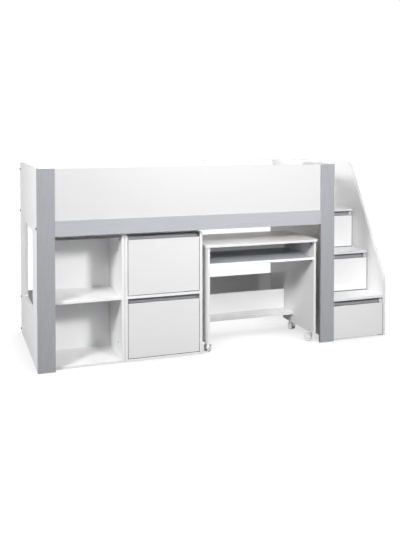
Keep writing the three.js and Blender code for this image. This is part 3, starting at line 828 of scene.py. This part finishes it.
def backdrop():
    """A white screen all round, which only the camera sees."""
    material, tree, shader = glowing_material("studio_screen", 1.0)
    place = add_node(tree, "TexCoord").outputs["Object"]
    glow = remap(tree, noise(tree, place, 0.1, detail=1.0), 0.0, 1.0, *SCREEN_GLOW)
    shader.inputs["Base Color"].default_value = rgba((0.0, 0.0, 0.0))
    tree.links.new(glow, shader.inputs["Emission Strength"])
    bm = bmesh.new()
    add_lathe(bm, [(SCREEN_RADIUS, SCREEN_FOOT), (SCREEN_RADIUS, SCREEN_RADIUS)], (0, 0, 0), Z, steps=96)
    screen = add_object("backdrop", bm, material)
    screen.visible_diffuse = False
    screen.visible_glossy = False
    screen.visible_shadow = False


def stage():
    """A white studio floor that glows, dimmed where it is closed in: painted contact shadow."""
    material, tree, shader = glowing_material("studio_floor", 0.9)
    place = add_node(tree, "TexCoord").outputs["Object"]
    tone = remap(tree, noise(tree, place, 1.5), 0.3, 0.7)
    tree.links.new(mix_colours(tree, tone, rgba((0.10, 0.10, 0.10)), rgba((0.11, 0.11, 0.11))),
                   shader.inputs["Base Color"])
    # Painted contact shadow: the glow drops where the floor is closed in.
    openness = add_node(tree, "AmbientOcclusion", {"Distance": FLOOR_SHADE_REACH}).outputs["AO"]
    glow = remap(tree, openness, 0.0, 1.0, FLOOR_SHADE, FLOOR_GLOW)
    tree.links.new(glow, shader.inputs["Emission Strength"])
    bm = bmesh.new()
    corners = [(-FLOOR_REACH, -FLOOR_REACH), (FLOOR_REACH, -FLOOR_REACH), (FLOOR_REACH, FLOOR_REACH),
               (-FLOOR_REACH, FLOOR_REACH)]
    bm.faces.new([bm.verts.new((x, y, -FLOOR_DROP)) for x, y in corners])
    floor = add_object("floor", bm, material)
    floor.visible_diffuse = False


def spot(name, place, diameter, strength):
    """A round softbox; its strength is the brightness it gives a white board that faces it."""
    aim = LIT_POINT - Vector(place)
    data = bpy.data.lights.new(name, "AREA")
    data.shape = "DISK"
    data.size = diameter
    data.energy = strength * math.pi ** 2 * aim.length_squared
    light = bpy.data.objects.new(name, data)
    light.location = place
    light.rotation_mode = "QUATERNION"
    light.rotation_quaternion = aim.to_track_quat("-Z", "Y")
    bpy.context.scene.collection.objects.link(light)
    return light


def keep_to(light, chosen):
    """Flags in front of a softbox: its light reaches only the chosen pieces."""
    lit = bpy.data.collections.new(f"lit_by_{light.name}")
    for piece in list(bpy.context.scene.objects):
        if piece.type == "MESH" and chosen(piece.name):
            lit.objects.link(piece)
    light.light_linking.receiver_collection = lit


def lights():
    spot("key", *KEY_SPOT)
    spot("side", *SIDE_SPOT)
    keep_to(spot("inside", *INSIDE_SPOT),
            lambda name: name not in OUTER_FACES and not name.endswith("_front"))
    keep_to(spot("recess", *RECESS_SPOT), lambda name: name in RECESS)
    keep_to(spot("back", *BACK_SPOT), lambda name: name in HIDDEN_FACES)
    keep_to(spot("far", *FAR_SPOT), lambda name: name in HIDDEN_FACES)


def world():
    """A white backdrop behind the bed, and one broad soft light from above the camera."""
    scene_world = bpy.data.worlds.new("studio")
    scene_world.use_nodes = True
    tree = scene_world.node_tree
    direction = add_node(tree, "TexCoord").outputs["Generated"]
    parts = add_node(tree, "SeparateXYZ", {0: direction}).outputs
    above = remap(tree, parts[Z], *BACKDROP_TOP)
    below = remap(tree, parts[Z], *BACKDROP_FOOT, 1.0, 0.0)
    level = maths(tree, "SUBTRACT", maths(tree, "SUBTRACT", 1.0, above), below)
    behind = remap(tree, parts[Y], *BACKDROP_SIDES)
    facing = maths(tree, "MINIMUM", parts[Y], 0.0)
    front = maths(tree, "MULTIPLY", maths(tree, "MULTIPLY", facing, facing), FRONT_SKY - OPEN_SKY)
    sky = maths(tree, "ADD", front, OPEN_SKY)
    strength = maths(tree, "ADD", maths(tree, "MULTIPLY", level, behind),
                     maths(tree, "MULTIPLY", above, sky))
    background = tree.nodes["Background"]
    background.inputs["Color"].default_value = rgba((1.0, 1.0, 1.0))
    tree.links.new(strength, background.inputs["Strength"])
    bpy.context.scene.world = scene_world


def camera():
    """The photograph's view: from the left of the front, a little above the bed."""
    data = bpy.data.cameras.new("camera")
    data.sensor_width = SENSOR_MM
    data.lens = LENS_MM
    data.shift_y = FRAME_SHIFT
    data.clip_end = CLIP_END
    forward = Vector((math.sin(EYE_YAW) * math.cos(EYE_PITCH), math.cos(EYE_YAW) * math.cos(EYE_PITCH),
                      -math.sin(EYE_PITCH)))
    eye = bpy.data.objects.new("camera", data)
    eye.location = EYE
    eye.rotation_mode = "QUATERNION"
    eye.rotation_quaternion = forward.to_track_quat("-Z", "Y")
    bpy.context.scene.collection.objects.link(eye)
    bpy.context.scene.camera = eye


camera()
finish_cad_nodes()
slats()
drawers()
unit_joint()
bolts()
connectors()
shelf_pins()
hub_caps()
backdrop()
stage()
lights()
world()
bpy.context.scene.view_settings.view_transform = "Standard"
